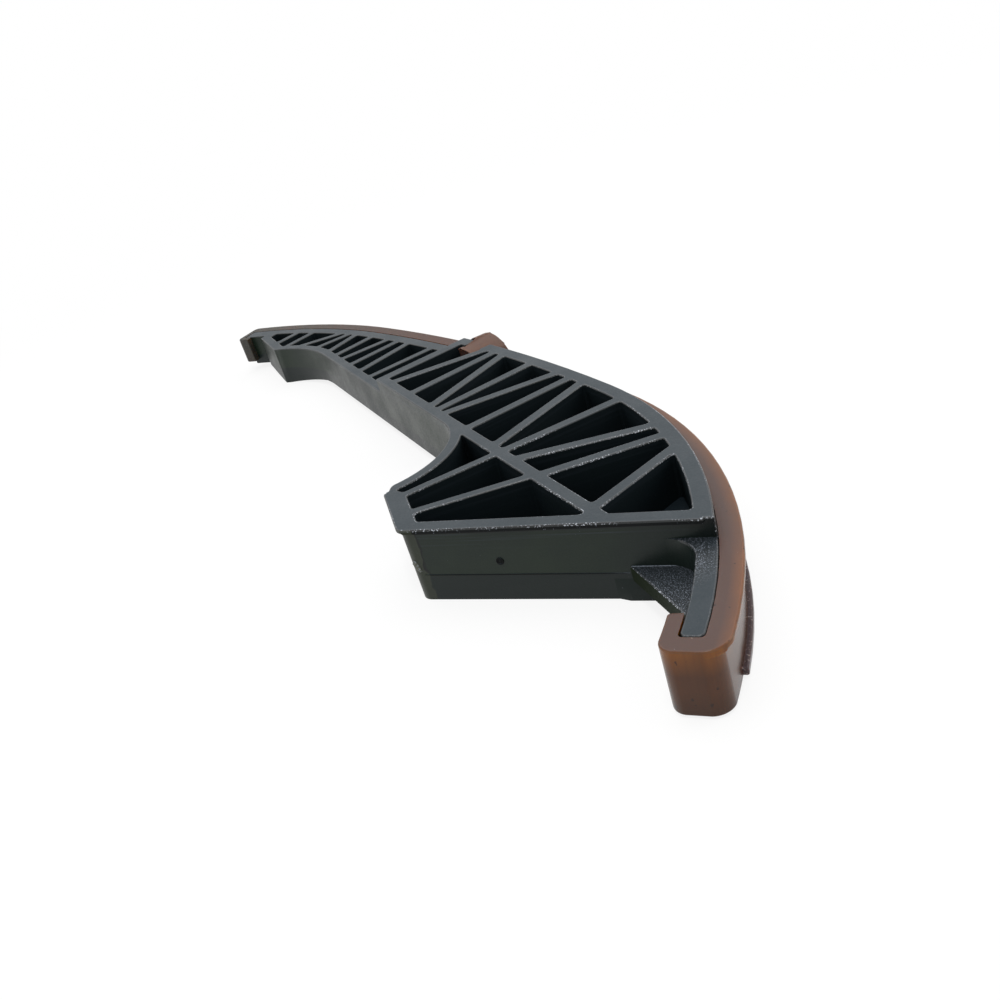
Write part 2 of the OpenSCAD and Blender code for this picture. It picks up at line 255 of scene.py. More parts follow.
def weigh_corners(piece: Piece, pocket: float, outer: float, slack: float, share: float,
                  until: float = WHOLE_LENGTH) -> float:
    """Give each upright corner the bevel weight of a corner radius.

    Args:
        piece: The piece whose corners are weighed.
        pocket: Radius wanted in the inner corners, in metres.
        outer: Radius wanted on the sharp outer corners, in metres.
        slack: Radius wanted on outer corners that turn by less than 60 degrees, in metres.
        share: Largest share of the wall beside a corner that its radius may use.
        until: Place along the part past which the corners stay sharp, in metres.

    Returns:
        The bevel width that a weight of 1 stands for, in metres.
    """
    work = bmesh.new()
    work.from_mesh(piece.data)
    layer = work.edges.layers.float.new("bevel_weight_edge")
    reach: dict[Edge, float] = {}
    least_share, least_room = 0.93, 0.7 * MM
    for edge in work.edges:
        if not edge.is_manifold:
            continue
        start = edge.verts[0].co
        way = (edge.verts[1].co - start).normalized()
        bend = edge.calc_face_angle_signed()
        tallest = max(abs(v.co.z - w.co.z) for f in edge.link_faces for v in f.verts for w in f.verts)
        if abs(way.z) < UPRIGHT or abs(bend) < ARC_TURN or edge.calc_length() < least_share * tallest:
            continue
        if start.x > until or any(SLOPED < abs(f.normal.z) < LEVEL for v in edge.verts for f in v.link_faces):
            continue
        room = min(max(abs((v.co - start).dot(f.normal.cross(Vector(UP)))) for v in f.verts) for f in edge.link_faces)
        if room < least_room:
            continue
        radius = pocket if bend < 0 else outer if bend > SHARP_TURN else slack
        reach[edge] = min(radius / math.tan((math.pi - abs(bend)) / 2), share * room)
    widest = max(reach.values())
    for edge, size in reach.items():
        edge[layer] = size / widest
    work.to_mesh(piece.data)
    work.free()
    return widest


def flat_bounds(face: Face) -> list[Edge]:
    """Find the edges round the flat area that a face belongs to.

    Args:
        face: Any face of the area.

    Returns:
        The edges between the area and what turns away from it.
    """
    area, waiting = {face}, [face]
    while waiting:
        for edge in waiting.pop().edges:
            if edge.is_manifold and edge.calc_face_angle() < FLAT_TURN:
                fresh = set(edge.link_faces) - area
                area |= fresh
                waiting.extend(fresh)
    edges = {edge for part in area for edge in part.edges}
    return [edge for edge in edges if not set(edge.link_faces) <= area]


def room_beside(loop: bmesh.types.BMLoop, bounds: list[Edge]) -> float:
    """Measure a flat area straight across from the middle of one of its edges.

    Args:
        loop: The edge, as a corner of its face.
        bounds: The edges round the flat area.

    Returns:
        The distance to the nearest edge opposite, in metres.
    """
    first, second = loop.vert.co, loop.link_loop_next.vert.co
    way = (second - first).normalized()
    inward = loop.face.normal.cross(way)
    middle = (first + second) / 2
    room, parallel, none = math.inf, 1e-9, 1e-7
    for edge in bounds:
        a, b = (v.co - middle for v in edge.verts)
        before, after = a.dot(way), b.dot(way)
        if edge is loop.edge or before * after > 0 or abs(before - after) < parallel:
            continue
        across = a.lerp(b, before / (before - after)).dot(inward)
        if across > none:
            room = min(room, across)
    return room


def weigh_arrises(piece: Piece, width: float, above: float = WHOLE_HEIGHT, beside: str = "") -> None:
    """Mark the outer edges that have room for a rounding.

    Args:
        piece: The piece whose edges are marked.
        width: Width of the rounding, in metres.
        above: Height below which the edges stay sharp, in metres.
        beside: A solid along which the edges stay sharp, if there is one.
    """
    clear_widths, room_widths = 1.5, 2.2
    tree = None
    if beside:
        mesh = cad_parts[beside].data
        tree = BVHTree.FromPolygons([v.co for v in mesh.vertices], [f.vertices for f in mesh.polygons])
    work = bmesh.new()
    work.from_mesh(piece.data)
    layer = work.edges.layers.float.get("bevel_weight_edge") or work.edges.layers.float.new("bevel_weight_edge")
    bounds: dict[Face, list[Edge]] = {}
    for edge in work.edges:
        edge[layer] = 0.0
        if not edge.is_manifold or edge.calc_face_angle_signed() < EDGE_TURN:
            continue
        if min(v.co.z for v in edge.verts) < above:
            continue
        middle = (edge.verts[0].co + edge.verts[1].co) / 2
        if tree and tree.find_nearest(middle)[3] < clear_widths * width:
            continue
        room = math.inf
        for loop in edge.link_loops:
            if loop.face not in bounds:
                bounds[loop.face] = flat_bounds(loop.face)
            room = min(room, room_beside(loop, bounds[loop.face]))
        if room > room_widths * width:
            edge[layer] = 1.0
    work.to_mesh(piece.data)
    work.free()


def round_weighed(piece: Piece, width: float, steps: int, slot: Slot) -> None:
    """Round the edges that have a bevel weight, with the width that a weight of 1 stands for, in metres."""
    modify(piece, "BEVEL", width=width, segments=steps, limit_method="WEIGHT", use_clamp_overlap=False,
           loop_slide=False, material=slot.value)


def open_levels(piece: Piece, above: float = WHOLE_HEIGHT) -> list[float]:
    """Take out the level faces, so that only walls are left.

    Args:
        piece: The piece to open.
        above: Height below which the faces stay, in metres.

    Returns:
        The heights that had faces, in metres.
    """
    heights: set[float] = set()
    with edit_mode(piece):
        bpy.ops.mesh.select_all(action="DESELECT")
        work = bmesh.from_edit_mesh(piece.data)
        for face in work.faces:
            if face.verts[0].co.z < above:
                continue
            if face.material_index == Slot.FACE.value and abs(face.normal.z) > LEVEL:
                face.select_set(True)
                heights.add(round(face.verts[0].co.z / MM, 2) * MM)
        bpy.ops.mesh.delete(type="FACE")
    return sorted(heights)


def fill_levels(piece: Piece, heights: list[float]) -> None:
    """Fill the level faces between the walls again, one height after another.

    Args:
        piece: The open piece.
        heights: Heights of the level faces, in metres.
    """
    with edit_mode(piece, "EDGE"):
        for height in heights:
            bpy.ops.mesh.select_all(action="DESELECT")
            work = bmesh.from_edit_mesh(piece.data)
            for edge in work.edges:
                if edge.is_boundary and all(abs(v.co.z - height) < SAME_HEIGHT for v in edge.verts):
                    edge.select_set(True)
            bpy.ops.mesh.fill(use_beauty=True)
            for face in bmesh.from_edit_mesh(piece.data).faces:
                if face.select:
                    face.material_index = Slot.FACE.value
        bpy.ops.mesh.select_all(action="SELECT")
        bpy.ops.mesh.normals_make_consistent(inside=False)


def smooth(piece: Piece, angle: float) -> None:
    """Shade a piece smooth, with the flat faces kept flat.

    Args:
        piece: The piece to shade.
        angle: Largest angle between two faces that is smoothed, in degrees.
    """
    take(piece)
    bpy.ops.object.shade_smooth_by_angle(angle=math.radians(angle))
    modify(piece, "WEIGHTED_NORMAL", keep_sharp=True, weight=60)


def paint_pockets(piece: Piece, floor: float) -> None:
    """Give the pockets' floors and walls their own material slot.

    Args:
        piece: The piece with the pockets.
        floor: Height of the pockets' floors, in metres.
    """
    floor_up, wall_up = 0.99, 0.3
    work = bmesh.new()
    work.from_mesh(piece.data)
    for face in work.faces:
        middle = face.calc_center_median()
        if face.normal.z < floor_up or abs(middle.z - floor) > SLIVER or (middle - WALL_AT).dot(WALL_OUT) > 0:
            continue
        face.material_index = Slot.POCKET.value
        for edge in face.edges:
            for wall in edge.link_faces:
                if abs(wall.normal.z) < wall_up:
                    wall.material_index = Slot.POCKET.value
    work.to_mesh(piece.data)
    work.free()


def paint_faces(piece: Piece, slot: Slot, levels: Span, ways: tuple[Vector, ...], until: float = WHOLE_LENGTH) -> None:
    """Give the upright faces between two levels their own material slot.

    Args:
        piece: The piece with the faces.
        slot: Their material slot.
        levels: Heights that the faces' middles lie between, in metres.
        ways: Directions that the faces look in.
        until: Place along the part past which no face is taken, in metres.
    """
    same_way = 0.96
    work = bmesh.new()
    work.from_mesh(piece.data)
    for face in work.faces:
        middle = face.calc_center_median()
        if middle.x > until or not levels[0] < middle.z < levels[1]:
            continue
        if any(face.normal.dot(way) > same_way for way in ways):
            face.material_index = slot.value
    work.to_mesh(piece.data)
    work.free()


class Graph:
    """A node tree of a material or a sky, built over object coordinates."""

    def __init__(self, owner: bpy.types.Material | bpy.types.World) -> None:
        """Start from the owner's single shader.

        Args:
            owner: The new material or world.
        """
        owner.use_nodes = True
        self.owner = owner
        self.tree = owner.node_tree
        self.shader = self.tree.nodes.get("Principled BSDF") or self.tree.nodes["Background"]
        self.coords = self.node("TexCoord", {}).outputs["Object"]

    def feed(self, node: bpy.types.ShaderNode, values: dict[str | int, Feed]) -> None:
        """Link or set some of a node's inputs.

        Args:
            node: The node.
            values: What goes into its inputs, by their names or numbers.
        """
        for key, value in values.items():
            into = node.inputs[key]
            if isinstance(value, Socket):
                self.tree.links.new(value, into)
            else:
                into.default_value = (*value, 1.0) if into.type == "RGBA" else value

    def node(self, kind: str, values: dict[str | int, Feed], **settings: str) -> bpy.types.ShaderNode:
        """Add a node.

        Args:
            kind: The node's type, without its ShaderNode.
            values: What goes into its inputs, by their names or numbers.
            settings: The node's own settings.

        Returns:
            The node.
        """
        node = self.tree.nodes.new(f"ShaderNode{kind}")
        for name, value in settings.items():
            setattr(node, name, value)
        self.feed(node, values)
        return node

    def vector(self, kind: str, a: Socket, b: Colour) -> bpy.types.ShaderNode:
        """A Vector Math node over a vector and a fixed one."""
        return self.node("VectorMath", {0: a, 1: b}, operation=kind)

    def shifted(self, place: Colour) -> Socket:
        """Object coordinates, shifted to another place."""
        return self.vector("ADD", self.coords, place).outputs["Vector"]

    def mapped(self, scale: Colour, turn: float = 0.0) -> Socket:
        """Object coordinates, turned about Z by an angle in degrees, then scaled."""
        turned = self.node("Mapping", {"Vector": self.coords, "Rotation": (0, 0, math.radians(turn))})
        return self.vector("MULTIPLY", turned.outputs["Vector"], scale).outputs["Vector"]

    def noise(self, vector: Socket, scale: float, detail: float = 2.0, rough: float = 0.5) -> Socket:
        """Noise over coordinates, from 0 to 1, by its scale, its octaves and the share that each of them adds."""
        values = {"Vector": vector, "Scale": scale, "Detail": detail, "Roughness": rough}
        return self.node("TexNoise", values).outputs["Fac"]

    def ramp(self, factor: Socket, low: float, high: float, to_low: float = 0.0, to_high: float = 1.0) -> Socket:
        """A factor moved from one range to another, held at its ends."""
        values = {"Value": factor, "From Min": low, "From Max": high, "To Min": to_low, "To Max": to_high}
        return self.node("MapRange", values).outputs["Result"]

    def rise(self, factor: Socket, start: float, width: float, low: float = 0.0, high: float = 1.0) -> Socket:
        """A ramp that is given by its start and its width."""
        return self.ramp(factor, start, start + width, low, high)

    def sum(self, kind: str, a: Socket, b: Socket | float) -> Socket:
        """Two values joined by a Math node's operation."""
        return self.node("Math", {0: a, 1: b}, operation=kind).outputs["Value"]

    def times(self, a: Socket, b: Socket | float) -> Socket:
        """The product of two values."""
        return self.sum("MULTIPLY", a, b)

    def mix(self, factor: Socket, a: Socket | Colour, b: Socket | Colour) -> Socket:
        """Two colours mixed by the share of the second."""
        return self.node("Mix", {0: factor, 6: a, 7: b}, data_type="RGBA").outputs[2]

    def facing(self, way: Colour, low: float, high: float) -> Socket:
        """How far a surface faces a direction: 0 and 1 at two shares of the normal along it."""
        normal = self.node("NewGeometry", {}).outputs["Normal"]
        return self.ramp(self.vector("DOT_PRODUCT", normal, way).outputs["Value"], low, high)

    def near(self, point: Colour, inner: float, outer: float) -> Socket:
        """How near a surface is to a point: 1 up to the inner distance, 0 from the outer one."""
        return self.ramp(self.vector("DISTANCE", self.coords, point).outputs["Value"], inner, outer, 1.0, 0.0)

    def along(self, way: Colour) -> Socket:
        """Distance along a direction, in metres."""
        return self.vector("DOT_PRODUCT", self.coords, way).outputs["Value"]

    def height(self) -> Socket:
        """Height above the rest plane, in metres."""
        return self.along(UP)

    def radius(self, centre: Colour) -> Socket:
        """Distance from an upright axis, in metres."""
        flat = self.vector("MULTIPLY", self.vector("SUBTRACT", self.coords, centre).outputs["Vector"], (1, 1, 0))
        return self.vector("LENGTH", flat.outputs["Vector"], (0, 0, 0)).outputs["Value"]

    def white_rays(self) -> Socket:
        """A factor of 1 for the rays that see the plain background.

        Returns:
            The factor.
        """
        path = self.node("LightPath", {}).outputs
        total = path[RayKind.CAMERA.value]
        for kind in (RayKind.GLOSSY, RayKind.TRANSMISSION):
            total = self.sum("MAXIMUM", total, path[kind.value])
        return total

    def bump(self, height: Socket, strength: float, distance: float) -> None:
        """Add a bump to the shader, over the one before it.

        Args:
            height: The bump's height.
            strength: How far the bump counts, from 0 to 1.
            distance: How high the bump is, in metres.
        """
        node = self.node("Bump", {"Height": height, "Strength": strength, "Distance": distance})
        before = self.shader.inputs["Normal"].links
        if before:
            self.feed(node, {"Normal": before[0].from_socket})
        self.feed(self.shader, {"Normal": node.outputs["Normal"]})


@dataclass(frozen=True)
class Patches:
    """Noise that is cut to soft patches."""

    scale: float
    low: float
    high: float
    least: float = 0.0
    most: float = 1.0
    detail: float = 2.0
    place: Colour = (0, 0, 0)

    def make(self, g: Graph) -> Socket:
        """The patches' factor, from the least to the most."""
        noise = g.noise(g.shifted(self.place), self.scale, self.detail)
        return g.ramp(noise, self.low, self.high, self.least, self.most)


@dataclass(frozen=True)
class RibbedNylon:
    """Black glass-filled nylon as it comes from the mould, with painted shade and light laid over it in places."""

    name: str
    olive: Colour = (0.0086, 0.0168, 0.0094)
    slate: Colour = (0.0042, 0.0088, 0.0080)
    top: Colour = (0.0156, 0.0246, 0.0314)
    haze: Colour = (0.0245, 0.0338, 0.0412)
    shade: Colour = (0.0020, 0.0028, 0.0032)
    # Painted light on the facet at the wall's far corner
    facet_light: Colour = (0.0260, 0.0310, 0.0200)
    # Pale specks of fibres; on edges this colour is also painted highlight
    fibre_and_highlight: Colour = (0.23, 0.26, 0.31)
    speck_scale: float = 3200.0
    speck_place: Colour = (3.1, 1.7, 0.4)
    speck_above: float = 0.80
    speck_fades: Span = (-75.0 * MM, -30.0 * MM)
    level: Span = (0.5, 0.95)
    bare: float = 0.0
    rough_side: float = 0.38
    rough_top: float = 0.45
    specular: float = 0.25
    grain: float = 2600.0
    grain_depth: float = 0.05 * MM
    flow_scale: Colour = (25, 25, 1500)
    flow_levels: Span = (11.0 * MM, 14.5 * MM)
    flow_depth: float = 0.03 * MM
    etch_grain: float = 2200.0
    etch_depth: float = 0.16 * MM
    mottle: Patches = Patches(55.0, 0.38, 0.68, 0.0, 0.8, 3.0)
    bloom: Patches = Patches(140.0, 0.40, 0.72, 0.0, 0.8, 4.0)
    polish: Patches = Patches(110.0, 0.32, 0.68, -0.03, 0.07, 4.0)
    waver: Patches = Patches(330.0, 0.3, 0.7, -0.5 * MM, 0.5 * MM, 2.0, (0.2, 0.5, 0.8))
    sparkle: Patches = Patches(5200.0, 0.545, 0.69, 0.0, 1.0, 2.0, (0.3, 0.9, 0.1))
    clusters: Patches = Patches(90.0, 0.42, 0.62)
    wall_way: Colour = (0.74664, 0.66523, 0.0)
    wall_start: float = -91.80 * MM
    wall_face: float = 71.07 * MM
    front: Span = (-0.6 * MM, -0.2 * MM)
    band_foot: Span = (14.5 * MM, 14.85 * MM)
    part_line: Span = (5.3 * MM, 5.5 * MM)
    tongue_shade: Span = (2.6 * MM, 5.6 * MM)
    tongue_levels: Span = (11.9 * MM, 12.6 * MM)
    facet_light_from: float = 56.6 * MM
    facet_light_depth: Span = (-3.2 * MM, -2.2 * MM)
    crease_levels: Span = (5.2 * MM, 6.2 * MM)
    gusset_top: float = 6.9 * MM
    seam_highlight_reach: Span = (0.18 * MM, 0.34 * MM)
    etch_clears: Span = (0.5 * MM, 8.0 * MM)
    root: Colour = (-113.0 * MM, 1.0 * MM, 8.0 * MM)
    root_reach: Span = (8.0 * MM, 13.0 * MM)
    root_top: float = 12.4 * MM

    def off_wall(self, g: Graph, reach: Span, low: float = 0.0, high: float = 1.0) -> Socket:
        """A factor that goes from low to high between two distances out of the front wall, in metres."""
        return g.ramp(g.along(tuple(WALL_OUT)), self.wall_face + reach[0], self.wall_face + reach[1], low, high)

    def mottled(self, g: Graph, flow: Socket) -> Socket:
        """Colour the upright faces, with mottling, flow lines, and shade by the tongue and under the lip.

        Args:
            g: The material's graph.
            flow: Noise of the flow lines.

        Returns:
            The colour.
        """
        side = g.mix(g.ramp(g.height(), *self.part_line), self.slate, self.olive)
        side = g.mix(self.mottle.make(g), side, self.slate)
        lines = g.times(g.ramp(flow, 0.50, 0.62), g.ramp(g.height(), *self.flow_levels, 0.0, 0.55))
        side = g.mix(lines, side, self.haze)
        along = g.sum("SUBTRACT", g.along(self.wall_way), self.wall_start)
        by_tongue = g.times(g.ramp(along, *self.tongue_shade, 0.85, 0.0), g.ramp(g.height(), *self.tongue_levels))
        side = g.mix(by_tongue, side, self.shade)
        band = g.times(self.off_wall(g, self.front), g.ramp(g.height(), *self.band_foot, 0.0, 0.9))
        return g.mix(band, side, self.shade)

    def facet_light_and_crease_shade(self, g: Graph, side: Socket) -> Socket:
        """Paint light over the wall's far corner, where a facet turns to the light, with painted shade along the
        crease before it.

        Args:
            g: The material's graph.
            side: Colour of the upright faces.

        Returns:
            The colour, with the painted light and shade.
        """
        past = g.sum("SUBTRACT", g.along(self.wall_way), self.wall_start + self.facet_light_from)
        past = g.sum("ADD", past, self.waver.make(g))
        # Painted light: the facet past the crease is lighter
        corner = g.times(g.ramp(past, 0.0, 0.3 * MM, 0.0, 0.8), self.off_wall(g, self.facet_light_depth))
        side = g.mix(corner, side, self.facet_light)
        # Painted shade: a dark line in the crease before the facet
        crease = g.times(g.ramp(past, -0.35 * MM, -0.1 * MM), g.ramp(past, 0.1 * MM, 0.3 * MM, 0.85, 0.0))
        crease = g.times(crease, g.times(self.off_wall(g, self.front), g.ramp(g.height(), *self.crease_levels)))
        return g.mix(crease, side, self.shade)

    def etched(self, g: Graph, colour: Socket, etch: Socket, grain: Socket) -> Socket:
        """Darken the etched patch by the near tongue, with painted glints over it and a painted highlight along the
        gusset's back edge.

        Args:
            g: The material's graph.
            colour: The colour so far.
            etch: Where the patch is.
            grain: Noise of the grain.

        Returns:
            The colour, with the patch.
        """
        colour = g.mix(g.times(etch, 0.7), colour, self.shade)
        clear = self.off_wall(g, self.etch_clears, 0.45, 1.0)
        # Painted glints over the etched patch
        colour = g.mix(g.times(g.times(etch, clear), self.sparkle.make(g)), colour, self.fibre_and_highlight)
        # Painted highlight: a pale line along the gusset's back edge, by the wall
        seam_highlight = self.off_wall(g, self.seam_highlight_reach, 0.8, 0.0)
        seam_highlight = g.times(seam_highlight, g.rise(g.height(), self.gusset_top, 0.2 * MM, 1.0, 0.0))
        return g.mix(g.times(g.times(seam_highlight, etch), g.ramp(grain, 0.3, 0.5)), colour, self.fibre_and_highlight)

    def specked(self, g: Graph, colour: Socket) -> Socket:
        """Scatter pale specks in clusters that thin out towards the far half: fibres, and on the arris and lip painted
        glints too.

        Args:
            g: The material's graph.
            colour: The colour so far.

        Returns:
            The colour, with the specks.
        """
        patch = g.times(self.clusters.make(g), g.ramp(g.along(ALONG), *self.speck_fades, 1.0, 0.15))
        fleck = g.rise(g.noise(g.shifted(self.speck_place), self.speck_scale, 1.0), self.speck_above, 0.07)
        above = g.rise(g.height(), self.gusset_top + 0.2 * MM, 0.2 * MM)
        below = g.rise(g.height(), self.root_top, 0.3 * MM, self.bare, 0.0)
        patch = g.times(patch, g.ramp(g.times(above, below), 0, 1, 1, 0))
        return g.mix(g.times(fleck, patch), colour, self.fibre_and_highlight)

    def make(self) -> bpy.types.Material:
        """Build the material.

        Returns:
            The material, with its grain, flow lines, pale specks of fibres, and the etch by the near tongue with its
            painted glints.
        """
        g = Graph(bpy.data.materials.new(self.name))
        up = g.facing(UP, *self.level)
        grain = g.noise(g.coords, self.grain, 3.0, 0.6)
        flow = g.noise(g.mapped(self.flow_scale, -WALL_TURN), 1.0, 3.0)
        # Painted shade on the upright faces near the tongue's root
        root_shade = g.times(g.near(self.root, self.root_reach[0], 1.6 * self.root_reach[0]), 0.75)
        side = g.mix(root_shade, self.facet_light_and_crease_shade(g, self.mottled(g, flow)), self.slate)
        flat = g.mix(self.bloom.make(g), self.top, self.haze)
        etch = g.times(g.near(self.root, *self.root_reach), up)
        etch = g.times(etch, g.rise(g.height(), self.root_top, 0.2 * MM, 1.0, 0.0))
        colour = self.specked(g, self.etched(g, g.mix(up, side, flat), etch, grain))
        rough = g.sum("ADD", g.ramp(up, 0, 1, self.rough_side, self.rough_top), g.ramp(grain, 0.3, 0.7, -0.06, 0.06))
        rough = g.sum("ADD", rough, self.polish.make(g))
        g.feed(g.shader, {"Base Color": colour, "Roughness": rough, "Specular IOR Level": self.specular})
        g.bump(flow, 0.10, self.flow_depth)
        g.bump(grain, 0.45, self.grain_depth)
        g.bump(g.times(etch, g.noise(g.coords, self.etch_grain, 2.0, 0.6)), 0.9, self.etch_depth)
        return g.owner


@dataclass(frozen=True)
class SlideNylon:
    """Caramel nylon that lets a little light through at its edges."""

    name: str
    body: Colour = (0.066, 0.0225, 0.0075)
    amber: Colour = (0.158, 0.052, 0.0060)
    rail: Colour = (0.046, 0.0235, 0.0255)
    top: Colour = (0.061, 0.0292, 0.0215)
    glow: Colour = (0.150, 0.056, 0.0190)
    far_grey: Colour = (0.029, 0.0275, 0.0220)
    speck: Colour = (0.018, 0.008, 0.006)
    glint: Colour = (0.40, 0.33, 0.30)
    deep_share: float = 0.62
    deep_levels: Span = (0.5 * MM, 5.0 * MM)
    amber_levels: Span = (7.6 * MM, 11.6 * MM)
    amber_until: float = 12.4 * MM
    rail_from: float = 117.9 * MM
    rail_top: float = 2.1 * MM
    level: Span = (0.55, 0.95)
    rough_side: float = 0.25
    rough_top: float = 0.44
    specular: float = 0.30
    scatter: float = 0.18
    scatter_radius: Colour = (1.0, 0.36, 0.14)
    scatter_scale: float = 1.2 * MM
    streak_scale: Colour = (420, 420, 26)
    streak_depth: float = 0.05 * MM
    cloud: float = 130.0
    grain: float = 2400.0
    grain_depth: float = 0.02 * MM
    specks: Patches = Patches(900.0, 0.71, 0.76, 0.0, 0.8, 1.0, (7.3, 2.2, 5.1))
    glints: Patches = Patches(1100.0, 0.79, 0.82, 0.0, 1.0, 1.0, (1.3, 6.2, 2.1))
    rail_glints: Patches = Patches(2600.0, 0.62, 0.72, 0.0, 0.6, 1.0, (4.4, 0.7, 3.6))
    bow_centre: Colour = (-50.686 * MM, 86.7605 * MM, 0.0)
    bow_edge: Span = (116.7 * MM, 118.7 * MM)
    glow_fades: Span = (-10.0 * MM, 30.0 * MM)
    dull: float = 0.17
    grey_along: Span = (40.0 * MM, 115.0 * MM)
    hook_along: Span = (122.0 * MM, 127.0 * MM)

    def streaked(self, g: Graph, streak: Socket) -> Socket:
        """Colour the upright faces, darker at the foot, streaked, and amber towards the top as painted light that
        comes through the top edge.

        Args:
            g: The material's graph.
            streak: Noise of the streaks.

        Returns:
            The colour.
        """
        deep = tuple(self.deep_share * c for c in self.body)
        side = g.mix(g.ramp(g.height(), *self.deep_levels), deep, self.body)
        # Painted light: amber towards the top, where light comes through the edge
        side = g.mix(g.ramp(g.height(), *self.amber_levels), side, self.amber)
        side = g.mix(g.ramp(streak, 0.44, 0.70, 0.0, 0.65), side, deep)
        return g.mix(g.rise(g.height(), self.amber_until, 0.5 * MM), side, self.top)

    def glowing(self, g: Graph, cloud: Socket) -> Socket:
        """Colour the top, with the light that comes through along the near half of the bow.

        Args:
            g: The material's graph.
            cloud: Noise of the clouds.

        Returns:
            The colour.
        """
        edge = g.times(g.ramp(g.radius(self.bow_centre), *self.bow_edge), g.ramp(cloud, 0.36, 0.62, 0.55, 1.0))
        edge = g.times(edge, g.ramp(g.along(ALONG), *self.glow_fades, 1.0, 0.05))
        return g.mix(g.times(edge, 0.85), self.top, self.glow)

    def greyed(self, g: Graph, colour: Socket, cloud: Socket) -> Socket:
        """Grey the far end, fading out on the faces that turn towards -Y, and all round the far hook.

        Args:
            g: The material's graph.
            colour: The colour so far.
            cloud: Noise of the clouds.

        Returns:
            The colour, with the dust.
        """
        greying = g.times(g.ramp(g.along(ALONG), *self.grey_along), g.facing((0, 1, 0), -0.4, 0.1))
        greying = g.sum("MAXIMUM", greying, g.ramp(g.along(ALONG), *self.hook_along))
        return g.mix(g.times(greying, g.ramp(cloud, 0.3, 0.6, 0.75, 1.0)), colour, self.far_grey)

    def make(self) -> bpy.types.Material:
        """Build the material.

        Returns:
            The material, with its amber edges, flow streaks, specks and the grey towards its far end.
        """
        g = Graph(bpy.data.materials.new(self.name))
        streak = g.noise(g.mapped(self.streak_scale), 1.0, 3.0)
        cloud = g.noise(g.coords, self.cloud, 3.0)
        grain = g.noise(g.coords, self.grain, 2.0)
        up = g.facing(UP, *self.level)
        rail = g.times(g.rise(g.height(), self.rail_top, 0.4 * MM, 1.0, 0.0),
                       g.ramp(g.radius(self.bow_centre), self.rail_from - 0.2 * MM, self.rail_from))
        side = g.mix(g.times(rail, g.ramp(cloud, 0.3, 0.6, 0.7, 1.0)), self.streaked(g, streak), self.rail)
        colour = g.mix(up, side, g.mix(rail, self.glowing(g, cloud), self.rail))
        colour = g.mix(self.specks.make(g), self.greyed(g, colour, cloud), self.speck)
        colour = g.mix(g.times(self.glints.make(g), up), colour, self.glint)
        # Painted glints: fine pale specks on the rail
        colour = g.mix(g.times(self.rail_glints.make(g), rail), colour, self.glint)
        rough = g.sum("ADD", g.ramp(up, 0, 1, self.rough_side, self.rough_top),
                      g.ramp(g.times(cloud, grain), 0.1, 0.4, -0.02, 0.02))
        dull = g.times(up, g.ramp(g.along(ALONG), *self.glow_fades, 0.0, self.dull))
        g.feed(g.shader, {"Base Color": colour, "Roughness": g.sum("ADD", rough, dull),
                          "Specular IOR Level": self.specular, "Subsurface Weight": self.scatter,
                          "Subsurface Radius": self.scatter_radius, "Subsurface Scale": self.scatter_scale})
        g.bump(streak, 0.08, self.streak_depth)
        g.bump(g.times(grain, up), 0.10, self.grain_depth)
        return g.owner


@dataclass
class Moulding:
    """A moulded piece, with the sizes by which its solid's corners and outer edges are rounded."""

    node: str
    arc_spacing: float
    inner_radius: float
    outer_radius: float
    slack_radius: float
    arris: float
    corners_until: float = WHOLE_LENGTH
    arris_above: float = WHOLE_HEIGHT
    beside: str = ""
    corner_share: float = 0.42
    corner_steps: int = 4
    arris_steps: int = 3
    smooth_to: float = 50.0

    def round_off(self, piece: Piece) -> None:
        """Round the upright corners, then the outer edges.

        Args:
            piece: The piece, still with its solid's form.
        """
        width = weigh_corners(piece, self.inner_radius, self.outer_radius, self.slack_radius, self.corner_share,
                              self.corners_until)
        heights = open_levels(piece)
        round_weighed(piece, width, self.corner_steps, Slot.FACE)
        fill_levels(piece, heights)
        weigh_arrises(piece, self.arris, self.arris_above, self.beside)
        round_weighed(piece, self.arris, self.arris_steps, Slot.ARRIS)
        fill_levels(piece, open_levels(piece, self.arris_above))


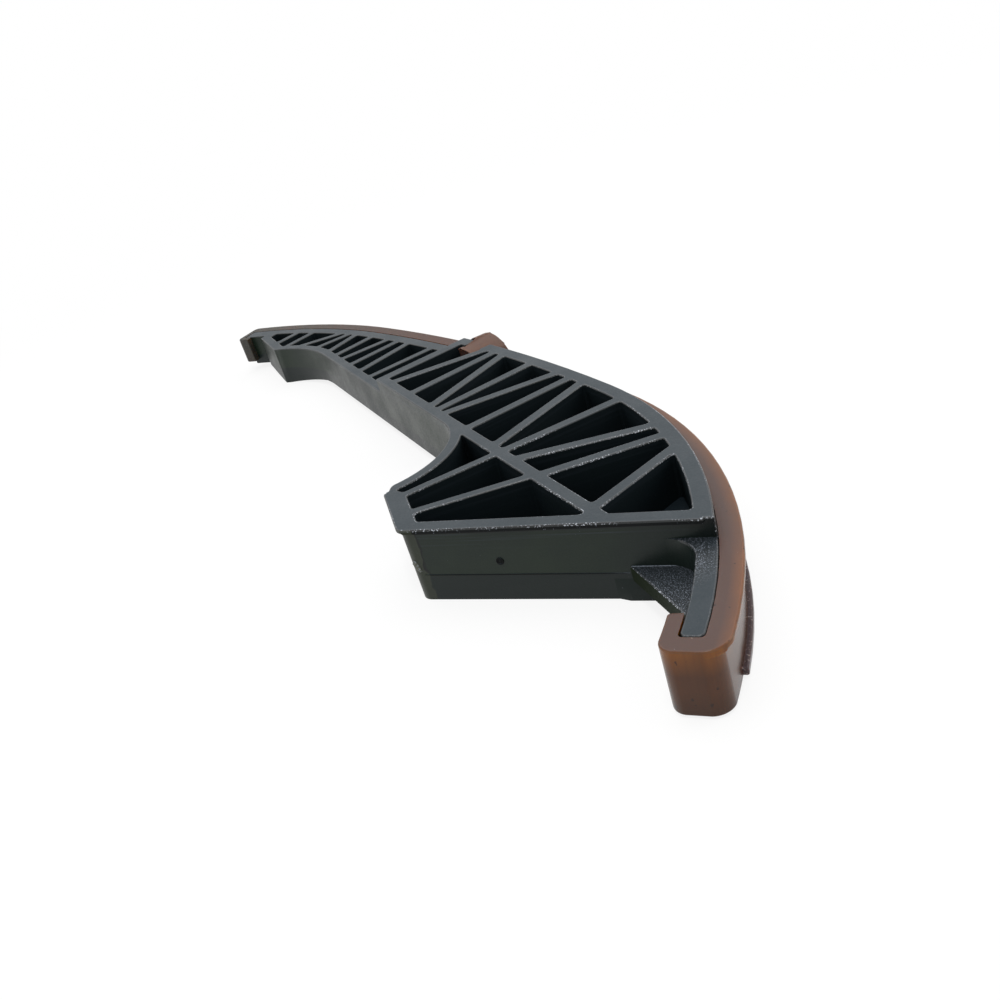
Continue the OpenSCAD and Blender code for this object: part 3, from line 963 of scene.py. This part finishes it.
@dataclass
class Carrier(Moulding):
    """The black lattice that the shoe is clipped to."""

    node: str = "carrier"
    arc_spacing: float = 0.39 * MM
    inner_radius: float = 0.65 * MM
    outer_radius: float = 0.8 * MM
    slack_radius: float = 2.4 * MM
    arris: float = 0.34 * MM
    arris_above: float = 5.5 * MM
    web_top: float = 6.9 * MM
    gusset_floor: float = 4.9 * MM
    gusset_more: float = 1.0 * MM
    gusset_until: float = -98.0 * MM
    lip_foot: float = 15.1 * MM
    spur_out: Vector = field(default_factory=lambda: Vector((0.20791, 0.97815, 0.0)))
    gusset_out: Vector = field(default_factory=lambda: Vector((0.0633, 0.998, 0.0)))
    finishes: dict[Slot, RibbedNylon] = field(default_factory=lambda: {
        Slot.FACE: RibbedNylon("ribbed_nylon"),
        # Rounded edges: painted shade on the lower part of each rounding, and brighter, denser specks as painted
        # highlights
        Slot.ARRIS: RibbedNylon("ribbed_nylon_arris", olive=(0.007, 0.010, 0.010), slate=(0.006, 0.009, 0.010),
                                top=(0.018, 0.024, 0.030), haze=(0.030, 0.036, 0.044), fibre_and_highlight=(0.42, 0.45, 0.50),
                                level=(0.78, 0.98), bare=0.8, speck_above=0.58, rough_side=0.30, rough_top=0.36,
                                specular=0.45),
        # Pockets: a darker copy of the nylon, painted shade
        Slot.POCKET: RibbedNylon("pocket_nylon", olive=(0.0058, 0.0096, 0.0112), slate=(0.0054, 0.0092, 0.0114),
                                 top=(0.009, 0.014, 0.018), haze=(0.011, 0.016, 0.020), rough_side=0.60,
                                 rough_top=0.60, specular=0.06),
        # Lip face: a darker copy of the nylon, painted shade, with more pale specks as painted glints
        Slot.LIP: RibbedNylon("lip_nylon", olive=(0.0035, 0.0050, 0.0055), slate=(0.0030, 0.0045, 0.0050),
                              haze=(0.008, 0.010, 0.011), speck_above=0.70, rough_side=0.55, specular=0.12),
        Slot.BAND: RibbedNylon("gusset_edge_nylon", olive=(0.0125, 0.0185, 0.0085), slate=(0.0100, 0.0150, 0.0080),
                               rough_side=0.60, specular=0.06),
    })

    def thicken_gusset(self, piece: Piece) -> None:
        """Lower the underside of the gusset by the thickness that its edge shows.

        Args:
            piece: The carrier's piece.
        """
        near = 0.01 * MM
        with edit_mode(piece, "VERT"):
            pick_points(piece, lambda point: (point.co - WALL_AT).dot(WALL_OUT) > -near
                        and point.co.x < self.gusset_until and abs(point.co.z - self.gusset_floor) < near)
            bpy.ops.transform.translate(value=(0, 0, -self.gusset_more))

    def build(self) -> Piece:
        """Round the corners and all outer edges of the solid's form.

        Returns:
            The carrier's piece.
        """
        piece = copy_of_node(self.node, "carrier_body", self.arc_spacing)
        self.thicken_gusset(piece)
        for slot in Slot:
            piece.data.materials.append(self.finishes[slot].make())
        self.round_off(piece)
        paint_pockets(piece, self.web_top)
        paint_faces(piece, Slot.LIP, (self.lip_foot, 1.0), (WALL_OUT, self.spur_out))
        paint_faces(piece, Slot.BAND, (self.gusset_floor - self.gusset_more, self.web_top), (self.gusset_out,),
                    self.gusset_until)
        return piece

    def dress(self, piece: Piece) -> None:
        """Shade the piece and put it in the solid's place.

        Args:
            piece: The piece to dress.
        """
        smooth(piece, self.smooth_to)
        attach(piece, "root")
        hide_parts(self.node)


@dataclass
class SlideShoe(Moulding):
    """The brown strip that the chain runs on."""

    node: str = "slide_shoe"
    arc_spacing: float = 0.03 * MM
    inner_radius: float = 0.8 * MM
    outer_radius: float = 0.6 * MM
    slack_radius: float = 0.6 * MM
    arris: float = 0.36 * MM
    corners_until: float = -60.0 * MM
    beside: str = "carrier"
    toe_span: Span = (3.0 * MM, 21.0 * MM)
    toe_from: float = -22.4 * MM
    toe_foot: float = 12.6 * MM
    toe_share: float = 0.72
    face: SlideNylon = field(default_factory=lambda: SlideNylon("slide_nylon"))
    # Rounded edges: a lighter copy of the nylon, painted highlight along them
    edge: SlideNylon = field(default_factory=lambda: SlideNylon(
        "slide_nylon_arris", body=(0.085, 0.030, 0.011), amber=(0.135, 0.053, 0.016),
        top=(0.085, 0.037, 0.021), glow=(0.170, 0.066, 0.024), rough_side=0.22, rough_top=0.30))

    def build(self) -> Piece:
        """Round the outer edges of the solid's form.

        Returns:
            The shoe's piece.
        """
        piece = copy_of_node(self.node, "slide_shoe_body", self.arc_spacing)
        piece.data.materials.append(self.face.make())
        piece.data.materials.append(self.edge.make())
        self.round_off(piece)
        self.lower_toe(piece)
        return piece

    def lower_toe(self, piece: Piece) -> None:
        """Let the clip's strap fall from its dome to its toe.

        Args:
            piece: The shoe's piece.
        """
        with edit_mode(piece, "VERT"):
            pick_points(piece, lambda point: self.toe_span[0] < point.co.x < self.toe_span[1]
                        and point.co.y > self.toe_from and point.co.z > self.toe_foot)
            bpy.ops.transform.resize(value=(1, 1, self.toe_share), center_override=(0, 0, self.toe_foot))

    def dress(self, piece: Piece) -> None:
        """Shade the piece and put it in the solid's place.

        Args:
            piece: The piece to dress.
        """
        smooth(piece, self.smooth_to)
        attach(piece, "root")
        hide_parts(self.node)


@dataclass
class WallMarks:
    """What the mould left on the front wall, placed by way along it, way out of it and height."""

    ridge: tuple[Colour, ...] = (
        (57.4, 5.72, 0.05), (57.0, 5.71, 0.14), (49.0, 5.64, 0.15), (44.0, 5.58, 0.13), (36.0, 5.56, 0.15),
        (28.0, 5.50, 0.14), (21.0, 5.45, 0.12), (17.2, 5.44, 0.11), (16.4, 5.44, 0.04))
    ridge_proud: float = 0.11 * MM
    ridge_sides: int = 10
    ring_at: Span = (40.6 * MM, 8.5 * MM)
    ring_radius: float = 0.78 * MM
    ring_proud: float = 0.13 * MM
    ring_sunk: float = 0.05 * MM
    ring_sides: int = 24
    ring_steps: tuple[Span, ...] = ((0.08, 0.03), (0.14, 0.0), (0.08, -0.12), (0.12, 0.0), (0.08, 0.09))
    nub_at: Span = (58.5 * MM, 7.6 * MM)
    nub_half: Colour = (0.6 * MM, 0.45 * MM, 1.0 * MM)
    nub_sunk: float = 0.15 * MM
    nub_ragged: float = 0.16 * MM
    nub_seed: int = 7
    nub_pulls: tuple[Colour, ...] = ((0.25, 1.1, 0.30), (-1.1, -0.55, -0.35))
    pad_from: float = 8.6 * MM
    pad_to: float = 19.6 * MM
    pad_top: float = 4.3 * MM
    pad_proud: float = 0.75 * MM
    pad_low: float = 0.05 * MM
    pad_sunk: float = 0.2 * MM
    pad_taper: Span = (0.76, 0.62)
    pad_round: float = 0.25 * MM
    smooth_to: float = 40.0
    # Dark finish of the ridge and the ring; on the ridge it is painted shade, the thin shadow below the step where the
    # mould's halves met
    dark: RibbedNylon = field(default_factory=lambda: RibbedNylon(
        "parting_nylon", olive=(0.0028, 0.0036, 0.0036), slate=(0.0024, 0.0032, 0.0034), speck_above=0.9,
        rough_side=0.55, specular=0.10))
    pale: RibbedNylon = field(default_factory=lambda: RibbedNylon(
        "flash_nylon", olive=(0.110, 0.115, 0.095), slate=(0.070, 0.075, 0.062), top=(0.13, 0.135, 0.12),
        haze=(0.16, 0.165, 0.15), speck_above=0.6, facet_light=(0.10, 0.105, 0.085)))
    # Darker than the wall: painted shade under the gusset
    plain: RibbedNylon = field(default_factory=lambda: RibbedNylon(
        "pad_nylon", olive=(0.0036, 0.0082, 0.0066), slate=(0.0032, 0.0078, 0.0066), rough_side=0.42,
        specular=0.20))

    def begin(self, add: Callable[..., set[str]], scale: Colour = (1, 1, 1), **sizes: object) -> Piece:
        """Add a simple shape and apply its place, turn and scale.

        Args:
            add: The operator that adds it.
            scale: Its scale along its own axes.
            sizes: What the operator is told.

        Returns:
            The piece, in the wall's own axes.
        """
        clear_selection()
        add(**sizes)
        piece = bpy.context.active_object
        piece.scale = scale
        bpy.ops.object.transform_apply(location=True, rotation=True, scale=True)
        return piece

    def settle(self, piece: Piece, name: str, finish: RibbedNylon) -> Piece:
        """Bring a piece from the wall's own axes to the wall and finish it.

        Args:
            piece: The piece, modelled along X, with Y out of the wall.
            name: The piece's name.
            finish: The piece's finish.

        Returns:
            The piece, at the origin.
        """
        take(piece)
        piece.name = name
        piece.rotation_euler = (0, 0, math.radians(WALL_TURN))
        piece.location = WALL_AT
        bpy.ops.object.transform_apply(location=True, rotation=True, scale=True)
        with edit_mode(piece):
            bpy.ops.mesh.select_all(action="SELECT")
            bpy.ops.mesh.normals_make_consistent(inside=False)
        piece.data.materials.append(finish.make())
        smooth(piece, self.smooth_to)
        return piece

    def build_ridge(self) -> Piece:
        """Extrude the fine ridge where the halves of the mould met.

        Returns:
            The ridge.
        """
        (s, z, tall), *rest = self.ridge
        piece = self.begin(bpy.ops.mesh.primitive_circle_add, vertices=self.ridge_sides, radius=tall * MM,
                           fill_type="NGON", location=(s * MM, 0, z * MM), rotation=(0, math.pi / 2, 0))
        with edit_mode(piece):
            bpy.ops.mesh.select_all(action="SELECT")
            bpy.ops.transform.resize(value=(1, self.ridge_proud / (tall * MM), 1), center_override=(s * MM, 0, z * MM))
            for to_s, to_z, to_tall in rest:
                step = ((to_s - s) * MM, 0, (to_z - z) * MM)
                bpy.ops.mesh.extrude_region_move(TRANSFORM_OT_translate={"value": step})
                bpy.ops.transform.resize(value=(1, 1, to_tall / tall), center_override=(to_s * MM, 0, to_z * MM))
                s, z, tall = to_s, to_z, to_tall
        return self.settle(piece, "parting_ridge", self.dark)

    def build_ring(self) -> Piece:
        """Raise the round mark of a pin, with its rim, its sunk ring and its middle.

        Returns:
            The mark.
        """
        s, z = self.ring_at
        piece = self.begin(bpy.ops.mesh.primitive_circle_add, vertices=self.ring_sides, radius=self.ring_radius,
                           fill_type="NGON", location=(s, -self.ring_sunk, z), rotation=(-math.pi / 2, 0, 0))
        with edit_mode(piece):
            bpy.ops.mesh.select_all(action="SELECT")
            rise = self.ring_proud + self.ring_sunk
            bpy.ops.mesh.extrude_region_move(TRANSFORM_OT_translate={"value": (0, rise, 0)})
            for wide, deep in self.ring_steps:
                bpy.ops.mesh.inset(thickness=wide * MM, depth=deep * MM)
        return self.settle(piece, "pin_ring", self.dark)

    def build_nub(self) -> Piece:
        """Pull a ragged nub of overflow out of the wall's far corner.

        Returns:
            The nub.
        """
        s, z = self.nub_at
        piece = self.begin(bpy.ops.mesh.primitive_ico_sphere_add, self.nub_half, subdivisions=3, radius=1.0,
                           location=(s, -self.nub_sunk, z))
        with edit_mode(piece, "VERT"):
            bpy.ops.mesh.select_all(action="SELECT")
            bpy.ops.transform.vertex_random(offset=self.nub_ragged, uniform=0.6, normal=0.4, seed=self.nub_seed)
            for low, high, shift in self.nub_pulls:
                pick_points(piece, lambda point: low < (point.co.z - z) / self.nub_half[2] < high)
                bpy.ops.transform.translate(value=(shift * MM, 0, shift * MM))
        modify(piece, "SUBSURF", levels=1, render_levels=1)
        return self.settle(piece, "flash_nub", self.pale)

    def build_pad(self) -> Piece:
        """Raise the shallow pad under the gusset.

        Returns:
            The pad.
        """
        size = (self.pad_to - self.pad_from, self.pad_top - self.pad_low, 1)
        place = ((self.pad_to + self.pad_from) / 2, -self.pad_sunk, (self.pad_top + self.pad_low) / 2)
        piece = self.begin(bpy.ops.mesh.primitive_plane_add, size, size=1.0, location=place,
                           rotation=(-math.pi / 2, 0, 0))
        with edit_mode(piece):
            bpy.ops.mesh.select_all(action="SELECT")
            for rise in (self.pad_sunk, self.pad_proud):
                bpy.ops.mesh.extrude_region_move(TRANSFORM_OT_translate={"value": (0, rise, 0)})
            bpy.ops.transform.resize(value=(self.pad_taper[0], 1, self.pad_taper[1]),
                                     center_override=(self.pad_from, 0, 0))
            bpy.ops.mesh.select_mode(type="EDGE")
            bpy.ops.mesh.bevel(offset=self.pad_round, segments=3, affect="EDGES")
        return self.settle(piece, "wall_pad", self.plain)

    def build(self) -> list[Piece]:
        """Build the ridge, the ring, the nub and the pad."""
        return [self.build_ridge(), self.build_ring(), self.build_nub(), self.build_pad()]

    def dress(self, pieces: list[Piece]) -> None:
        """Let the pieces ride with the carrier that they are moulded on.

        Args:
            pieces: The pieces to dress.
        """
        for piece in pieces:
            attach(piece, "root")


@dataclass
class Lamp:
    """One soft area lamp that looks at a point."""

    name: str
    place: Colour
    aim: Colour
    size: Span
    power: float

    def build(self) -> Piece:
        """Add the lamp.

        Returns:
            The lamp's object.
        """
        clear_selection()
        bpy.ops.object.light_add(type="AREA", location=self.place)
        lamp = bpy.context.active_object
        lamp.name = self.name
        lamp.data.shape = "RECTANGLE"
        lamp.data.size, lamp.data.size_y = self.size
        lamp.data.energy = self.power
        way = Vector(self.aim) - Vector(self.place)
        lamp.rotation_euler = way.to_track_quat("-Z", "Y").to_euler()
        return lamp


@dataclass
class Studio:
    """Pale floor, soft lamps and the camera at the photograph's place."""

    floor_size: float = 6.0
    floor_grey: Colour = (0.85, 0.85, 0.85)
    floor_white: float = 0.84
    floor_near: float = 0.16
    floor_far: float = 0.45
    sky: float = 0.60
    eye: Colour = (-0.2383090, 0.0658594, 0.0985168)
    right: Colour = (-0.4164401, -0.8676767, -0.2715045)
    up: Colour = (0.3196519, -0.4192996, 0.8497120)
    sensor: float = 36.0
    lens: float = 36.36
    shift: Span = (0.008, 0.017)
    clip: Span = (0.005, 50.0)
    lamps: list[Lamp] = field(default_factory=lambda: [
        Lamp("overhead", (0.30, -0.10, 0.75), (0.0, 0.0, 0.0), (0.9, 0.9), 3.9),
        Lamp("bow_side", (-0.30, -0.60, 0.35), (-0.05, 0.0, 0.0), (0.5, 0.4), 1.5),
        Lamp("spine_side", (0.15, 0.70, 0.35), (0.0, 0.0, 0.0), (0.6, 0.5), 0.4),
        Lamp("ring_light", (-0.27, 0.07, 0.62), (-0.05, 0.0, 0.0), (0.12, 0.12), 1.3),
    ])

    def build_floor(self) -> Piece:
        """Add the pale floor.

        Returns:
            The floor.
        """
        clear_selection()
        bpy.ops.mesh.primitive_plane_add(size=self.floor_size, location=(0, 0, 0))
        floor = bpy.context.active_object
        floor.name = "floor"
        g = Graph(bpy.data.materials.new("pale_floor"))
        g.feed(g.shader, {"Base Color": self.floor_grey, "Roughness": 0.9, "Specular IOR Level": 0.0})
        away = g.vector("LENGTH", g.coords, (0, 0, 0)).outputs["Value"]
        share = g.ramp(away, self.floor_near, self.floor_far, self.floor_white, 1.0)
        share.node.interpolation_type = "SMOOTHSTEP"
        glow = g.node("Emission", {}).outputs["Emission"]
        mix = g.node("MixShader", {"Fac": g.times(g.white_rays(), share), 1: g.shader.outputs["BSDF"], 2: glow})
        g.feed(g.tree.nodes["Material Output"], {"Surface": mix.outputs["Shader"]})
        floor.data.materials.append(g.owner)
        return floor

    def build_sky(self) -> None:
        """Set a soft grey sky that the camera sees as white."""
        world = bpy.data.worlds.new("studio_sky")
        bpy.context.scene.world = world
        g = Graph(world)
        g.feed(g.shader, {"Color": (1, 1, 1), "Strength": g.ramp(g.white_rays(), 0, 1, self.sky, 1.0)})

    def build_camera(self) -> Piece:
        """Add the camera at the photograph's place.

        Returns:
            The camera.
        """
        clear_selection()
        bpy.ops.object.camera_add()
        camera = bpy.context.active_object
        camera.name = "photo_camera"
        right, up = Vector(self.right).normalized(), Vector(self.up).normalized()
        turn = Matrix((right, up, right.cross(up))).transposed()
        camera.matrix_world = Matrix.Translation(Vector(self.eye)) @ turn.to_4x4()
        camera.data.sensor_fit = "HORIZONTAL"
        camera.data.sensor_width = self.sensor
        camera.data.lens = self.lens
        camera.data.shift_x, camera.data.shift_y = self.shift
        camera.data.clip_start, camera.data.clip_end = self.clip
        camera.data.dof.use_dof = False
        bpy.context.scene.camera = camera
        return camera

    def build(self) -> None:
        """Build the floor, sky, lamps and camera."""
        self.build_floor()
        self.build_sky()
        for lamp in self.lamps:
            lamp.build()
        self.build_camera()
        bpy.context.scene.view_settings.view_transform = "Standard"


def main() -> None:
    """Build each sub-assembly in order, then the studio."""
    logging.basicConfig(level=logging.INFO, format="%(name)s: %(message)s")
    for part in (Carrier(), SlideShoe()):
        piece = part.build()
        part.dress(piece)
        LOG.info("%s: %d faces", piece.name, len(piece.data.polygons))
    marks = WallMarks()
    pieces = marks.build()
    marks.dress(pieces)
    for piece in pieces:
        LOG.info("%s: %d faces", piece.name, len(piece.data.polygons))
    Studio().build()
    clear_selection()


if __name__ == "__main__":
    main()
